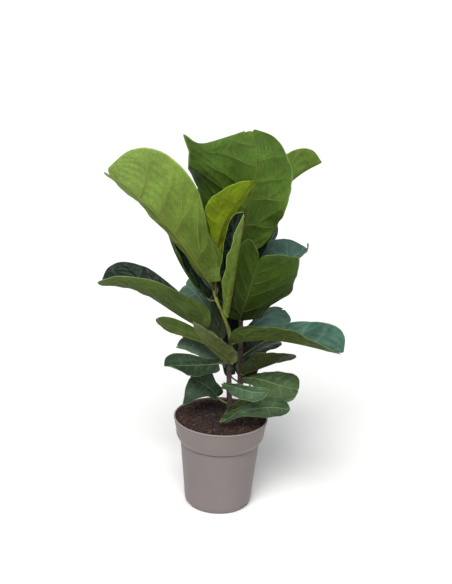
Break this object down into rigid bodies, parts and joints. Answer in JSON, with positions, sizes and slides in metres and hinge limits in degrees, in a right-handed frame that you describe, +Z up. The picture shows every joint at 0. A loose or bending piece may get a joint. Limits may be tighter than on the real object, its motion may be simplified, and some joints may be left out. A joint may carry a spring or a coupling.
{
  "type": "potted plant",
  "caption": "Potted bambino fiddle-leaf fig: two slender stems with stiff, upright, folded leaves in a taupe plastic nursery pot.",
  "frame": {"origin": "centre of the pot's flat underside", "axes": "+Z up, front of the plant faces -Y"},
  "size_m": [0.5297, 0.4669, 0.8695],
  "materials": {
    "pot_plastic": "matte",
    "soil_surface": "matte",
    "bark": "matte",
    "green_shoot": "satin",
    "leaf_green": "satin"
  },
  "bodies": {
    "root": {"pot": "pot_plastic", "soil": "soil_surface", "stem_front": "bark", "stem_back": "bark", "shoot_front": "green_shoot", "shoot_back": "green_shoot", "leaf_top_left": "leaf_green", "leaf_top_middle": "leaf_green", "leaf_top_right": "leaf_green", "leaf_young": "leaf_green", "leaf_inner_upright": "leaf_green", "leaf_behind_top_left": "leaf_green", "leaf_middle_right": "leaf_green", "leaf_back_right": "leaf_green", "leaf_left_long": "leaf_green", "leaf_back_left": "leaf_green", "leaf_right_long": "leaf_green", "leaf_behind_right": "leaf_green", "leaf_left_small": "leaf_green", "leaf_front_diagonal": "leaf_green", "leaf_left_dark": "leaf_green", "leaf_low_left": "leaf_green", "leaf_low_left_drooping": "leaf_green", "leaf_right_dark": "leaf_green", "leaf_right_olive": "leaf_green", "leaf_low_right": "leaf_green", "leaf_low_front": "leaf_green", "leaf_lowest_right": "leaf_green", "leaf_lowest_olive": "leaf_green", "leaf_back_01": "leaf_green", "leaf_back_02": "leaf_green", "leaf_back_04": "leaf_green", "leaf_back_05": "leaf_green", "leaf_back_06": "leaf_green", "leaf_back_07": "leaf_green", "leaf_back_08": "leaf_green", "leaf_back_09": "leaf_green", "leaf_back_10": "leaf_green", "leaf_back_11": "leaf_green"}
  },
  "joints": []
}
